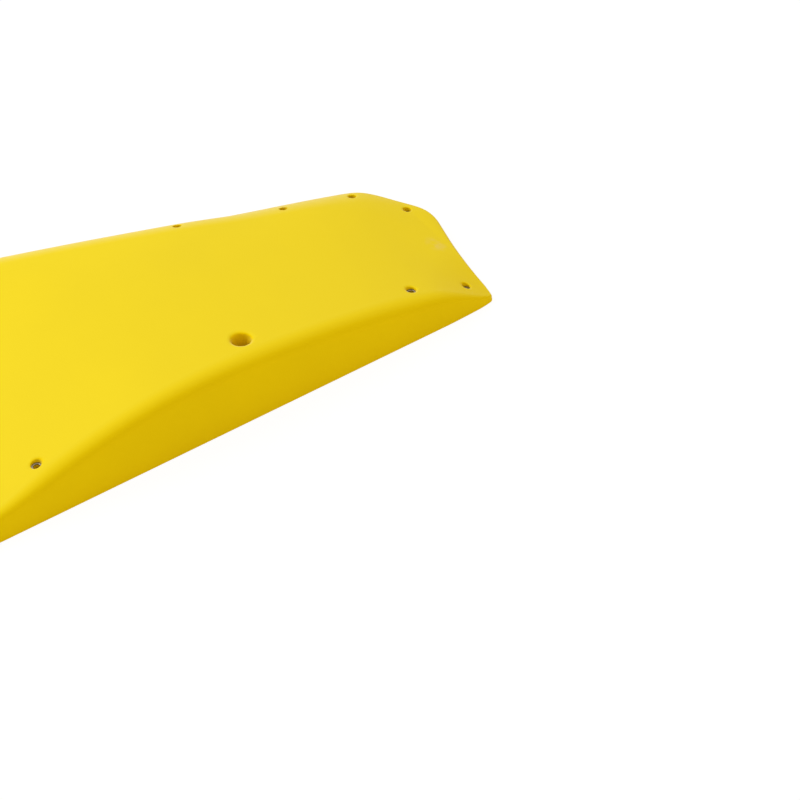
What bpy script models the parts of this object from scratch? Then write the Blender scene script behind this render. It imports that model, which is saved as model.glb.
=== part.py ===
"""Edge climbing hold: a hollow-backed moulded wedge with steel washers cast into it.

The flat back lies on Z = 0, the gripping edge runs along X at the front, and the
sloping top falls away towards +Y. Driving dimensions are in millimetres.
"""

import math

import bmesh
import bpy
from mathutils import Vector

MM = 0.001
COLLECTION = "edge_climbing_hold"

# Corners of the flat back, anticlockwise from above: x, y, rounding radius.
CORNERS = [
    (-332.9, -160.2, 20),
    (301, -160.2, 8.5),
    (318.8, -23.9, 56),
    (277.3, 40.6, 71),
    (-114.3, 168.5, 45),
]

# Gentle bows of the outline: centre x, y, depth inwards, half its length.
BOWS = [
    (155.9, 80.3, -2.3, 179),
    (306.2, -101.6, 6.4, 90),
    (301, -160.2, 2, 22),
]

# The top sinks towards the pointed right end: centre x, y, fall, reach.
TIP_FALL = (304, -160, 7.2, 74)

# Height of the gripping edge at stations along X.
EDGE_STATIONS = [
    (-332.9, 11.5),
    (-263.8, 18),
    (-213.8, 28),
    (-144.8, 48),
    (-73.8, 61),
    (-13.8, 64.5),
    (46.2, 62.5),
    (140.2, 53),
    (232.2, 36),
    (296.6, 12.5),
]

RIM_HEIGHT = 12
ROLL_WIDTH = 36
ROLL_RISE = 7
ROLL_SHARE = 0.22
TOP_CROWN = 3
FRONT_LEAN = 12
RIM_LEAN = 6
EDGE_ROUNDING = 15
RIM_ROUNDING = 6

RIM_WIDTH = 12
WALL = 9
CAVITY_LEAST_HEIGHT = 2
CAVITY_ROUNDING = 5

RIB_PITCH = 60
RIB_THIN = 5
RIB_THICK = 7
LONG_RIB_Y = -34

# Where the sections of the top meet: a gentle curve from end to end.
SPINE = [(-256, -117), (-18, -37), (258, -42)]

# Bolt hole: x, y and the depth of its washer below the lowest part of the mouth.
BOLT_HOLE = (42.4, -117.6)
BOLT_SEAT_DEPTH = 25.5
BOLT_BORE = 11
BOLT_POCKET = 18.5
BOLT_LIP = 2.5
BOLT_WASHER = (25, 10.5, 3)
BOLT_BOSS = (46, 50)

# Screw holes near the rim: x, y, depth of the washer below the lowest part of the mouth.
SCREW_HOLES = [
    (-171, -130, 2.6),
    (218.3, -131.1, 3.2),
    (277.6, -137.9, 2.6),
    (295.5, -13.7, 5.6),
    (259.9, 31.4, 5),
    (188.5, 46.6, 5),
    (87.3, 79.1, 5),
    (-99, 137, 5),
    (-175.5, 23, 2.6),
    (-264.9, -135.7, 2.6),
]
SCREW_BORE = 7.2
SCREW_POCKET = 9.6
SCREW_LIP = 1.6
SCREW_WASHER = (13, 6.6, 1.6)
SCREW_BOSS = (20, 23)

CLEARANCE = 0.3
SPREAD_LENGTH = 20
SPREAD_TURN = math.radians(13)


def corner_arc(before, corner, after):
    """Centre of a corner's rounding and the angles between which it turns."""
    here = Vector(corner[:2])
    into = (here - Vector(before[:2])).normalized()
    out = (Vector(after[:2]) - here).normalized()
    turn = into.angle(out)
    start = here - into * corner[2] * math.tan(turn / 2)
    left = Vector((-into.y, into.x))
    centre = start + left * corner[2]
    first = math.atan2(-left.y, -left.x)
    return centre, first, turn


def outline(corners):
    """Points round a rounded outline, each with its outward direction."""
    path = []
    for i, corner in enumerate(corners):
        centre, first, turn = corner_arc(corners[i - 1], corner, corners[(i + 1) % len(corners)])
        steps = max(2, round(turn / math.radians(2)))
        for k in range(steps + 1):
            angle = first + turn * k / steps
            outward = Vector((math.cos(angle), math.sin(angle)))
            path.append((centre + outward * corner[2], outward))
    return bowed(path + path[:1])


def bowed(loop):
    """Fills the straight sides of a closed loop with points and bows them."""
    path = []
    for (a, toward_a), (b, toward_b) in zip(loop, loop[1:]):
        steps = max(1, round((b - a).length / SPREAD_LENGTH))
        for k in range(steps):
            point = a.lerp(b, k / steps)
            outward = toward_a.lerp(toward_b, k / steps).normalized()
            shift = 0.0
            for x, y, depth, half in BOWS:
                reach = min((point - Vector((x, y))).length / half, 1.0)
                shift += depth * (1 + math.cos(math.pi * reach)) / 2
            path.append((point - outward * shift, outward))
    return path


def spread(path, count):
    """Resamples a path to count + 1 places, closer together where it turns."""
    measure = [0.0]
    for (a, toward_a), (b, toward_b) in zip(path, path[1:]):
        turn = toward_a.angle(toward_b)
        measure.append(measure[-1] + (b - a).length / SPREAD_LENGTH + turn / SPREAD_TURN)
    places = []
    k = 0
    for i in range(count + 1):
        wanted = measure[-1] * i / count
        while k < len(path) - 2 and measure[k + 1] < wanted:
            k += 1
        part = (wanted - measure[k]) / (measure[k + 1] - measure[k])
        point = path[k][0].lerp(path[k + 1][0], part)
        outward = path[k][1].lerp(path[k + 1][1], part).normalized()
        places.append((point, outward))
    return places


def halves(corners, count):
    """The outline's front and back halves, both from the left end to the right end."""
    path = outline(corners)
    left = min(range(len(path)), key=lambda k: path[k][0].x)
    path = path[left:] + path[:left]
    right = max(range(len(path)), key=lambda k: path[k][0].x)
    front = path[: right + 1]
    back = path[right:] + path[:1]
    back.reverse()
    return spread(front, count), spread(back, count)


def inset_corners(corners, distance):
    """The corners of the outline moved inwards by a distance."""
    moved = []
    for i, corner in enumerate(corners):
        here = Vector(corner[:2])
        into = (here - Vector(corners[i - 1][:2])).normalized()
        out = (Vector(corners[(i + 1) % len(corners)][:2]) - here).normalized()
        turn = into.angle(out)
        inwards = Vector((-into.y - out.y, into.x + out.x)).normalized()
        place = here + inwards * distance / math.cos(turn / 2)
        moved.append((place.x, place.y, max(corner[2] - distance, 8)))
    return moved


def edge_height(x):
    """Height of the gripping edge at x, on a smooth curve through its stations."""
    stations = EDGE_STATIONS
    x = min(max(x, stations[0][0]), stations[-1][0])
    k = 0
    while k < len(stations) - 2 and stations[k + 1][0] < x:
        k += 1
    (x0, z0), (x1, z1) = stations[k], stations[k + 1]
    before = stations[max(k - 1, 0)]
    after = stations[min(k + 2, len(stations) - 1)]
    slope0 = (z1 - before[1]) / (x1 - before[0])
    slope1 = (after[1] - z0) / (after[0] - x0)
    t = (x - x0) / (x1 - x0)
    width = x1 - x0
    return (
        z0 * (1 + 2 * t) * (1 - t) ** 2
        + slope0 * width * t * (1 - t) ** 2
        + z1 * t * t * (3 - 2 * t)
        - slope1 * width * t * t * (1 - t)
    )


def side_distance(corners, k, x, y):
    """Distance of (x, y) inwards from the side that starts at corner k."""
    a = Vector(corners[k][:2])
    b = Vector(corners[(k + 1) % len(corners)][:2])
    along = (b - a).normalized()
    return along.x * (y - a.y) - along.y * (x - a.x)


def top_height(x, y):
    """Height of the top: a wedge from the gripping edge that rolls over to the rim."""
    edge = edge_height(x)
    lean = edge * math.tan(math.radians(FRONT_LEAN))
    front = max(y - CORNERS[0][1] - lean, 0.0)
    others = 0.0
    for k in range(1, len(CORNERS)):
        others += max(side_distance(CORNERS, k, x, y), 0.01) ** -3
    rear = others ** (-1 / 3)
    share = rear / (front + rear)
    rise = edge - RIM_HEIGHT
    roll = 1 - max(1 - rear / ROLL_WIDTH, 0.0) ** 2
    shoulder = (ROLL_RISE + ROLL_SHARE * rise) * (1 - share) * roll
    crown = 4 * TOP_CROWN * share * (1 - share) * rise / 50
    reach = min(math.hypot(x - TIP_FALL[0], y - TIP_FALL[1]) / TIP_FALL[3], 1.0)
    fall = TIP_FALL[2] * (1 + math.cos(math.pi * reach)) / 2
    return RIM_HEIGHT + rise * share + shoulder + crown - fall


def front_share(outward):
    """1 where the wall faces straight to the front, 0 where it faces elsewhere."""
    t = min(max((-outward.y - 0.5) / 0.5, 0.0), 1.0)
    return t * t * (3 - 2 * t)


def section(point, outward, meeting, roof, rounding, low, counts):
    """Points up the wall, round its upper edge and over the top to the meeting point."""
    frontness = front_share(outward)
    wall = math.radians(90 - RIM_LEAN - (FRONT_LEAN - RIM_LEAN) * frontness)
    depth = 0.0
    for _ in range(12):
        depth = roof(*(point - outward * depth)) / math.tan(wall)
    rise = roof(*(point - outward * (depth + 1))) - roof(*(point - outward * depth))
    height = depth * math.tan(wall)
    slope = math.atan(rise)
    turn = wall - slope
    radius = rounding[0] + (rounding[1] - rounding[0]) * frontness
    radius = min(radius, 0.35 * height)
    tangent = min(radius * math.tan(turn / 2), 0.8 * height / math.sin(wall))
    radius = tangent / math.tan(turn / 2)
    points = [point.to_3d() + Vector((0, 0, low))]
    start_depth = depth - tangent * math.cos(wall)
    start_height = height - tangent * math.sin(wall)
    arc_steps, top_steps = counts
    for k in range(arc_steps + 1):
        angle = wall - turn * k / arc_steps
        inward = start_depth + radius * (math.sin(wall) - math.sin(angle))
        z = start_height + radius * (math.cos(angle) - math.cos(wall))
        place = point - outward * inward
        points.append(Vector((place.x, place.y, z)))
    last = points[-1].to_2d()
    offset = points[-1].z - roof(*last)
    for k in range(1, top_steps + 1):
        t = (k / top_steps) ** 1.6
        place = last.lerp(meeting, t)
        points.append(Vector((place.x, place.y, roof(*place) + offset * (1 - t) ** 4)))
    return points


def spine_point(t):
    """Place on the curve where the sections meet, t from 0 at the left to 1."""
    a, b, c = (Vector(p) for p in SPINE)
    return a.lerp(b, t).lerp(b.lerp(c, t), t)


def lofted(name, corners, roof, rounding, low, count, counts):
    """A closed body lofted through sections that stand all round an outline."""
    front, back = halves(corners, count)
    left_x = front[0][0].x
    width = front[-1][0].x - left_x
    mesh = bmesh.new()
    rows = []
    for i in range(count + 1):
        middle = (front[i][0].x + back[i][0].x) / 2
        meeting = spine_point((middle - left_x) / width)
        row = []
        for point, outward in (front[i], back[i]):
            points = section(point, outward, meeting, roof, rounding, low, counts)
            row.append([mesh.verts.new(p * MM) for p in points[:-1]])
            if i in (0, count):
                row.append(row[0])
                break
        shared = mesh.verts.new(points[-1] * MM)
        rows.append([side + [shared] for side in row])
    for here, after in zip(rows, rows[1:]):
        for side in (0, 1):
            a, b = here[side], after[side]
            for k in range(len(a) - 1):
                mesh.faces.new((a[k], b[k], b[k + 1], a[k + 1]))
        base = [here[0][0], here[1][0], after[1][0], after[0][0]]
        mesh.faces.new(list(dict.fromkeys(base)))
    bmesh.ops.recalc_face_normals(mesh, faces=mesh.faces)
    return finished(name, mesh)


def finished(name, mesh):
    """Turns an edited mesh into a new object of that name."""
    data = bpy.data.meshes.new(name)
    mesh.to_mesh(data)
    mesh.free()
    return bpy.data.objects.new(name, data)


def turned(name, profile, place, steps, mouth=None):
    """A body turned about a vertical axis from a closed profile of (radius, height).

    With a mouth height, whatever stands above the mouth's foot rides on the top of
    the hold, so that the mouth follows the slope all round.
    """
    mesh = bmesh.new()
    verts = [mesh.verts.new((r * MM, 0, z * MM)) for r, z in profile]
    loop = zip(verts, verts[1:] + ([verts[0]] if profile[0][0] > 0 else []))
    edges = [mesh.edges.new(pair) for pair in loop]
    bmesh.ops.spin(
        mesh,
        geom=verts + edges,
        axis=(0, 0, 1),
        angle=math.tau,
        steps=steps,
        use_merge=True,
    )
    bmesh.ops.remove_doubles(mesh, verts=mesh.verts, dist=0.00001)
    for vert in mesh.verts:
        vert.co.x += place[0] * MM
        vert.co.y += place[1] * MM
        if mouth is not None and vert.co.z > (mouth[0] - mouth[1] - 0.01) * MM:
            ridden = top_height(vert.co.x / MM, vert.co.y / MM) - mouth[0]
            vert.co.z += ridden * MM
    bmesh.ops.recalc_face_normals(mesh, faces=mesh.faces)
    return finished(name, mesh)


def hole_profile(mouth, seat, bore, pocket, washer, lip):
    """Profile of a stepped hole: bore, washer groove, pocket and rounded mouth."""
    groove = washer[0] / 2 + CLEARANCE
    profile = [
        (0, -6),
        (bore / 2, -6),
        (bore / 2, seat - CLEARANCE),
        (groove, seat - CLEARANCE),
        (groove, seat + washer[2] + CLEARANCE),
        (pocket / 2, seat + washer[2] + CLEARANCE),
    ]
    for degrees in (0, 20, 40, 60):
        angle = math.radians(degrees)
        radius = pocket / 2 + lip * (1 - math.cos(angle))
        profile.append((radius, mouth - lip * (1 - math.sin(angle))))
    reach = 2 * lip
    profile.append((radius + reach, mouth + reach * 0.6))
    profile.append((0, mouth + reach * 0.6))
    return profile


def washer_profile(seat, washer):
    """Profile of a flat ring standing on its seat height."""
    outer, inner, thickness = washer
    return [
        (inner / 2, seat),
        (outer / 2, seat),
        (outer / 2, seat + thickness),
        (inner / 2, seat + thickness),
    ]


def boss(name, at, widths):
    """A tapered pillar round a hole, thinner at the open back."""
    mesh = bmesh.new()
    bmesh.ops.create_cone(
        mesh,
        cap_ends=True,
        segments=24,
        radius1=widths[0] / 2 * MM,
        radius2=widths[1] / 2 * MM,
        depth=90 * MM,
    )
    bmesh.ops.translate(mesh, verts=mesh.verts, vec=(at[0] * MM, at[1] * MM, 39 * MM))
    return finished(name, mesh)


def rib(name, x, y, length, width):
    """A tapered bar from the open back up through the cavity."""
    mesh = bmesh.new()
    bmesh.ops.create_cube(mesh, size=1)
    for vert in mesh.verts:
        thickness = RIB_THIN if vert.co.z < 0 else RIB_THICK
        vert.co.x *= (length or thickness) * MM
        vert.co.y *= (width or thickness) * MM
        vert.co.z *= 90 * MM
    bmesh.ops.translate(mesh, verts=mesh.verts, vec=(x * MM, y * MM, 39 * MM))
    return finished(name, mesh)


def subtract(body, tool):
    """Cuts an object, or every object of a collection, out of a body."""
    cut = body.modifiers.new("cut " + tool.name, "BOOLEAN")
    cut.operation = "DIFFERENCE"
    cut.solver = "EXACT"
    if isinstance(tool, bpy.types.Collection):
        cut.operand_type = "COLLECTION"
        cut.collection = tool
    else:
        cut.object = tool


def material(name, colour, metallic, roughness):
    made = bpy.data.materials.new(name)
    made.use_nodes = True
    shader = made.node_tree.nodes["Principled BSDF"]
    shader.inputs["Base Color"].default_value = (*colour, 1)
    shader.inputs["Metallic"].default_value = metallic
    shader.inputs["Roughness"].default_value = roughness
    return made


def collection(name, parent, members, hidden):
    group = bpy.data.collections.new(name)
    parent.children.link(group)
    for member in members:
        group.objects.link(member)
        if hidden:
            member.hide_render = True
            member.display_type = "WIRE"
    return group


def ribs():
    """Cross ribs on a steady pitch through the bolt hole, and one rib along the hold."""
    bars = []
    for k in range(-5, 5):
        x = BOLT_HOLE[0] + k * RIB_PITCH
        bars.append(rib(f"cross_rib_{k + 6:02}", x, 0, None, 420))
    bars.append(rib("long_rib", 0, LONG_RIB_Y, 720, None))
    return bars


def seat_height(place, depth, washer):
    """Height of a washer's lower face, set a depth below the lowest top around it."""
    lowest = top_height(*place)
    for k in range(24):
        angle = math.tau * k / 24
        reach = washer[0] / 2
        around = (place[0] + reach * math.cos(angle), place[1] + reach * math.sin(angle))
        lowest = min(lowest, top_height(*around))
    return lowest - depth - washer[2]


def drilled(name, place, steps, depth, bore, pocket, washer, lip):
    """The cutter of one stepped hole."""
    mouth = top_height(*place)
    seat = seat_height(place, depth, washer)
    profile = hole_profile(mouth, seat, bore, pocket, washer, lip)
    return turned(name, profile, place, steps, (mouth, lip))


def holes():
    """The cutters of the bolt hole and of every screw hole."""
    bolt = (BOLT_SEAT_DEPTH, BOLT_BORE, BOLT_POCKET, BOLT_WASHER, BOLT_LIP)
    screw = (SCREW_BORE, SCREW_POCKET, SCREW_WASHER, SCREW_LIP)
    cutters = [drilled("bolt_hole", BOLT_HOLE, 32, *bolt)]
    for k, (x, y, depth) in enumerate(SCREW_HOLES, 1):
        cutters.append(drilled(f"screw_hole_{k:02}", (x, y), 20, depth, *screw))
    return cutters


def washers():
    """The steel washers, each in the groove of its hole."""
    seat = seat_height(BOLT_HOLE, BOLT_SEAT_DEPTH, BOLT_WASHER)
    made = [turned("main_bolt_washer", washer_profile(seat, BOLT_WASHER), BOLT_HOLE, 32)]
    for k, (x, y, depth) in enumerate(SCREW_HOLES, 1):
        seat = seat_height((x, y), depth, SCREW_WASHER)
        profile = washer_profile(seat, SCREW_WASHER)
        made.append(turned(f"screw_washer_{k:02}", profile, (x, y), 24))
    return made


def main():
    for old in list(bpy.data.objects):
        bpy.data.objects.remove(old)
    root = bpy.context.scene.collection

    shell = lofted(
        "hold_shell",
        CORNERS,
        top_height,
        (RIM_ROUNDING, EDGE_ROUNDING),
        0,
        54,
        (5, 9),
    )
    cavity = lofted(
        "cavity",
        inset_corners(CORNERS, RIM_WIDTH),
        lambda x, y: max(top_height(x, y) - WALL, CAVITY_LEAST_HEIGHT),
        (CAVITY_ROUNDING, CAVITY_ROUNDING),
        -3,
        34,
        (2, 4),
    )
    bosses = [boss("bolt_boss", BOLT_HOLE, BOLT_BOSS)]
    for k, place in enumerate(SCREW_HOLES, 1):
        bosses.append(boss(f"screw_boss_{k:02}", place, SCREW_BOSS))

    collection("cutters", root, [cavity], True)
    kept = collection("kept_in_cavity", root, bosses + ribs(), True)
    bored = collection("bored", root, holes(), True)
    subtract(cavity, kept)
    subtract(shell, cavity)
    subtract(shell, bored)

    parts = [shell] + washers()
    collection(COLLECTION, root, parts, False)
    for part in parts:
        if part is shell:
            look = material(part.name, (0.85, 0.62, 0.02), 0, 0.5)
        else:
            look = material(part.name, (0.6, 0.6, 0.62), 1, 0.3)
        part.data.materials.append(look)
    shell.data.shade_smooth()
    shell.data.set_sharp_from_angle(angle=math.radians(35))


if __name__ == "__main__":
    main()
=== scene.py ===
# %% [markdown]
# # An edge climbing hold
#
# The real object is one thick plastic casting that is bolted to a climbing wall.
# Seen from the front it is a long wedge: a tall arched edge for the fingers, a
# steep face below it, and a sloping top that runs back to a thin rounded rim.
# The back is hollow and stiffened with ribs. Steel washers are cast into every
# fixing hole, so that the bolt and the screws don't crush the plastic.
#
# The lesson builds the casting again with fine surfaces, cuts its holes with
# soft mouths, turns the washers, and gives each its finish.

# %% Load the fixed frame
import math

import bmesh
import bpy
import numpy as np
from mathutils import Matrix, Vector


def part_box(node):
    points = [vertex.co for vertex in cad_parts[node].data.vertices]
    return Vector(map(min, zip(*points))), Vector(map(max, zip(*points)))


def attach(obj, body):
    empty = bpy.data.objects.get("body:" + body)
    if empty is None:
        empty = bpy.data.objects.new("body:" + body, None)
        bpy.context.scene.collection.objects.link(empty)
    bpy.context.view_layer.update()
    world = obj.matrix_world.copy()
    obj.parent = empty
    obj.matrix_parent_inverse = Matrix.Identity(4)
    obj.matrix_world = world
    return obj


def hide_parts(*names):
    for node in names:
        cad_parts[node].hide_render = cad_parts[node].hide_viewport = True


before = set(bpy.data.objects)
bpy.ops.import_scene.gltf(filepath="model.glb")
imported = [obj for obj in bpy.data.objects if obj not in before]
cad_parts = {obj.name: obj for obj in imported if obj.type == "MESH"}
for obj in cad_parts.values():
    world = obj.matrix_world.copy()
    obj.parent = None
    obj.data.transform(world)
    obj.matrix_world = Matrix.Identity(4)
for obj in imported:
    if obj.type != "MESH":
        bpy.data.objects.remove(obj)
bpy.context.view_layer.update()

# %% [markdown]
# ## The plan of the casting
#
# Everything is in metres. The back lies on Z = 0 and the gripping edge runs
# along X. The plan is a five-sided outline, given as the x, y and rounding of
# each corner. It is drawn a hair smaller than the solids, so that the finer
# surface stays inside them.

# %% Name the corners of the plan
MM = 0.001
SKIN_INSET = 0.12 * MM

CORNERS = [
    (-0.3329, -0.1602, 0.020),
    (0.3010, -0.1602, 0.0085),
    (0.3188, -0.0239, 0.056),
    (0.2773, 0.0406, 0.071),
    (-0.1143, 0.1685, 0.045),
]
print("length along the edge:", round(CORNERS[1][0] - CORNERS[0][0], 3), "m between corners")

# %% [markdown]
# ## A rounded outline
#
# Each corner is replaced by an arc that touches both of its sides. The sides of
# the real hold aren't quite straight, so each bow names a place, the depth by
# which the side gives way there, and how far to each side that reaches. A curve
# object could round the corners too. Here the path is computed, because each of
# its points also has to carry the direction that faces outwards there: the wall
# leans inwards against it. The path is then spread out again so that points
# gather where it turns and thin out along the straight sides.

# %% Round the corners of the plan
BOWS = [
    (0.1559, 0.0803, -0.0023, 0.179),
    (0.3062, -0.1016, 0.0064, 0.090),
    (0.3010, -0.1602, 0.0020, 0.022),
]
ARC_STEP = math.radians(1)
OUTLINE_STEP = 0.006


def corner_arc(before, corner, after):
    here = Vector(corner[:2])
    into = (here - Vector(before[:2])).normalized()
    out = (Vector(after[:2]) - here).normalized()
    turn = into.angle(out)
    left = Vector((-into.y, into.x))
    centre = here - into * corner[2] * math.tan(turn / 2) + left * corner[2]
    return centre, math.atan2(-left.y, -left.x), turn


def outline(corners):
    path = []
    for i, corner in enumerate(corners):
        following = corners[(i + 1) % len(corners)]
        centre, first, turn = corner_arc(corners[i - 1], corner, following)
        steps = max(2, round(turn / ARC_STEP))
        for k in range(steps + 1):
            angle = first + turn * k / steps
            outward = Vector((math.cos(angle), math.sin(angle)))
            path.append((centre + outward * corner[2], outward))
    return bowed(path + path[:1])


def bowed(loop):
    path = []
    for (a, toward_a), (b, toward_b) in zip(loop, loop[1:]):
        steps = max(1, round((b - a).length / OUTLINE_STEP))
        for k in range(steps):
            point = a.lerp(b, k / steps)
            outward = toward_a.lerp(toward_b, k / steps).normalized()
            shift = 0.0
            for x, y, depth, half in BOWS:
                reach = min((point - Vector((x, y))).length / half, 1.0)
                shift += depth * (1 + math.cos(math.pi * reach)) / 2
            path.append((point - outward * shift, outward))
    return path


print("points on the dense outline:", len(outline(CORNERS)))

# %% Spread points by length and by turn
SPREAD_LENGTH = 0.0035
SPREAD_TURN = math.radians(3)
LEAST_CORNER = 0.008


def spread(path, count):
    measure = [0.0]
    for (a, toward_a), (b, toward_b) in zip(path, path[1:]):
        turn = toward_a.angle(toward_b)
        measure.append(measure[-1] + (b - a).length / SPREAD_LENGTH + turn / SPREAD_TURN)
    places = []
    k = 0
    for i in range(count + 1):
        wanted = measure[-1] * i / count
        while k < len(path) - 2 and measure[k + 1] < wanted:
            k += 1
        part = (wanted - measure[k]) / (measure[k + 1] - measure[k])
        outward = path[k][1].lerp(path[k + 1][1], part).normalized()
        places.append((path[k][0].lerp(path[k + 1][0], part), outward))
    return places


def halves(corners, count):
    path = outline(corners)
    left = min(range(len(path)), key=lambda k: path[k][0].x)
    path = path[left:] + path[:left]
    right = max(range(len(path)), key=lambda k: path[k][0].x)
    back = path[right:] + path[:1]
    back.reverse()
    return spread(path[: right + 1], count), spread(back, count)


def inset_corners(corners, distance):
    moved = []
    for i, corner in enumerate(corners):
        here = Vector(corner[:2])
        into = (here - Vector(corners[i - 1][:2])).normalized()
        out = (Vector(corners[(i + 1) % len(corners)][:2]) - here).normalized()
        inwards = Vector((-into.y - out.y, into.x + out.x)).normalized()
        place = here + inwards * distance / math.cos(into.angle(out) / 2)
        moved.append((place.x, place.y, max(corner[2] - distance, LEAST_CORNER)))
    return moved


middle = halves(inset_corners(CORNERS, SKIN_INSET), 2)[0][1][0]
print("middle of the front half:", round(middle.x, 4), round(middle.y, 4))

# %% [markdown]
# ## Small helpers for node trees
#
# Three kinds of pieces come from Geometry Nodes: the casting's shape, because
# one rule gives the height of its whole top, the ribs and bosses, which repeat,
# and the washers. The helpers here make a tree with named inputs, join its nodes
# by the names of their sockets, end it, and turn what it grows into a plain mesh.

# %% Make a tree and join its nodes
FLOAT = "NodeSocketFloat"


def new_tree(name, inputs):
    tree = bpy.data.node_groups.new(name, "GeometryNodeTree")
    tree.interface.new_socket("Geometry", in_out="INPUT", socket_type="NodeSocketGeometry")
    for label, kind, value in inputs:
        socket = tree.interface.new_socket(label, in_out="INPUT", socket_type=kind)
        if value is not None:
            socket.default_value = value
    tree.interface.new_socket("Geometry", in_out="OUTPUT", socket_type="NodeSocketGeometry")
    return tree, tree.nodes.new("NodeGroupInput"), tree.nodes.new("NodeGroupOutput")


def add_node(tree, kind, **settings):
    node = tree.nodes.new(kind)
    for key, value in settings.items():
        setattr(node, key, value)
    return node


def math_node(tree, operation, first, second):
    node = add_node(tree, "ShaderNodeMath", operation=operation)
    for socket, value in zip(node.inputs, (first, second)):
        if isinstance(value, (int, float)):
            socket.default_value = value
        else:
            tree.links.new(value, socket)
    return node.outputs[0]


def feed(tree, node, sources):
    for label, source in sources.items():
        tree.links.new(source, node.inputs[label])


def combined(tree, **parts):
    node = add_node(tree, "ShaderNodeCombineXYZ")
    feed(tree, node, parts)
    return node.outputs[0]


print("helpers for nodes: new_tree, add_node, math_node, feed, combined")


# %% End a tree and run it
def end_tree(tree, geometry, group_in, group_out):
    realize = add_node(tree, "GeometryNodeRealizeInstances")
    feed(tree, realize, {"Geometry": geometry})
    paint = add_node(tree, "GeometryNodeSetMaterial")
    sources = {
        "Geometry": realize.outputs["Geometry"],
        "Material": group_in.outputs["Material"],
    }
    feed(tree, paint, sources)
    feed(tree, group_out, {"Geometry": paint.outputs["Geometry"]})


def add_object(name, data):
    made = bpy.data.objects.new(name, data)
    bpy.context.scene.collection.objects.link(made)
    return made


def finished_mesh(body):
    view = bpy.context.evaluated_depsgraph_get()
    return bpy.data.meshes.new_from_object(body.evaluated_get(view), depsgraph=view)


def grow(name, tree, values, base=None):
    seed = add_object(name + "_seed", base or bpy.data.meshes.new(name + "_seed"))
    modifier = seed.modifiers.new("grow", "NODES")
    modifier.node_group = tree
    sockets = {item.name: item.identifier for item in tree.interface.items_tree}
    for label, value in values.items():
        modifier[sockets[label]] = value
    data = finished_mesh(seed)
    seed.modifiers.remove(modifier)
    bpy.data.objects.remove(seed)
    data.name = name
    return add_object(name, data)


print("helpers for trees: end_tree, add_object, finished_mesh, grow")

# %% [markdown]
# ## A grain shared by the finishes
#
# The finishes come before the shapes, because each cutting tool brings its own
# finish along and leaves it on the faces that it cuts.
#
# The outside of the casting, its raw back and the washers all show a fine
# grain, only coarser or finer. An image of grain would need a flat layout of
# every piece, and noise doesn't. So the grain is one node group of noises with
# its own sizes. It puts out a height for bumps and a soft patch value that lets
# colour and gloss vary a little from place to place.

# %% Build the grain group
PIT_SCALE = 0.55
PIT_DEPTH = 0.7


def shader_group(name, inputs, outputs):
    group = bpy.data.node_groups.new(name, "ShaderNodeTree")
    for label, value in inputs:
        socket = group.interface.new_socket(label, in_out="INPUT", socket_type=FLOAT)
        socket.default_value = value
    for label in outputs:
        group.interface.new_socket(label, in_out="OUTPUT", socket_type=FLOAT)
    return group, group.nodes.new("NodeGroupInput"), group.nodes.new("NodeGroupOutput")


grain_group, grain_in, grain_out = shader_group(
    "cast_grain",
    [("Grain Scale", 900.0), ("Patch Scale", 9.0)],
    ["Height", "Patches"],
)
coords = add_node(grain_group, "ShaderNodeTexCoord")
fine = add_node(grain_group, "ShaderNodeTexNoise")
fine.inputs["Detail"].default_value = 3.0
fine.inputs["Roughness"].default_value = 0.6
pits = add_node(grain_group, "ShaderNodeTexVoronoi", feature="SMOOTH_F1")
pits.inputs["Smoothness"].default_value = 0.6
broad = add_node(grain_group, "ShaderNodeTexNoise")
broad.inputs["Detail"].default_value = 4.0
grain_scale = grain_in.outputs["Grain Scale"]
pit_scale = math_node(grain_group, "MULTIPLY", grain_scale, PIT_SCALE)
patch_scale = grain_in.outputs["Patch Scale"]
for texture, scale in ((fine, grain_scale), (pits, pit_scale), (broad, patch_scale)):
    feed(grain_group, texture, {"Vector": coords.outputs["Object"], "Scale": scale})
pit_height = math_node(grain_group, "MULTIPLY", pits.outputs["Distance"], PIT_DEPTH)
height = math_node(grain_group, "ADD", fine.outputs["Fac"], pit_height)
feed(grain_group, grain_out, {"Height": height, "Patches": broad.outputs["Fac"]})
print("group:", grain_group.name)

# %% [markdown]
# ## The yellow casting
#
# The plastic is coloured all through, dull and even. Close up it has the fine
# sandy bite that fingers need. A painted sheen makes the faces that look up a
# little paler, as the lamp behind the hold makes them look. A painted highlight
# runs along the rounded gripping edge, and a stronger painted sheen lies round
# the rear rim. One broken patch of painted sheen lies near the right end, where
# the top slopes away. A painted mask could hold all this, but the direction in
# which a face looks already says how much of it the face gets. The raw back is
# the same yellow without the painted sheen, a little glossier, with the broader
# waves of the mould's lid.

# %% Helpers for materials
def ramp(tree, value, low, high, to_low, to_high):
    node = add_node(tree, "ShaderNodeMapRange")
    tree.links.new(value, node.inputs["Value"])
    for label, number in (
        ("From Min", low),
        ("From Max", high),
        ("To Min", to_low),
        ("To Max", to_high),
    ):
        node.inputs[label].default_value = number
    return node.outputs["Result"]


def mix_colour(tree, factor, first, second):
    node = add_node(tree, "ShaderNodeMix", data_type="RGBA")
    tree.links.new(factor, node.inputs["Factor"])
    colours = [socket for socket in node.inputs if socket.type == "RGBA"]
    for socket, value in zip(colours, (first, second)):
        if isinstance(value, tuple):
            socket.default_value = (*value, 1.0)
        else:
            tree.links.new(value, socket)
    return [socket for socket in node.outputs if socket.type == "RGBA"][0]


def new_material(name):
    made = bpy.data.materials.new(name)
    made.use_nodes = True
    return made, made.node_tree, made.node_tree.nodes["Principled BSDF"]


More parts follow.
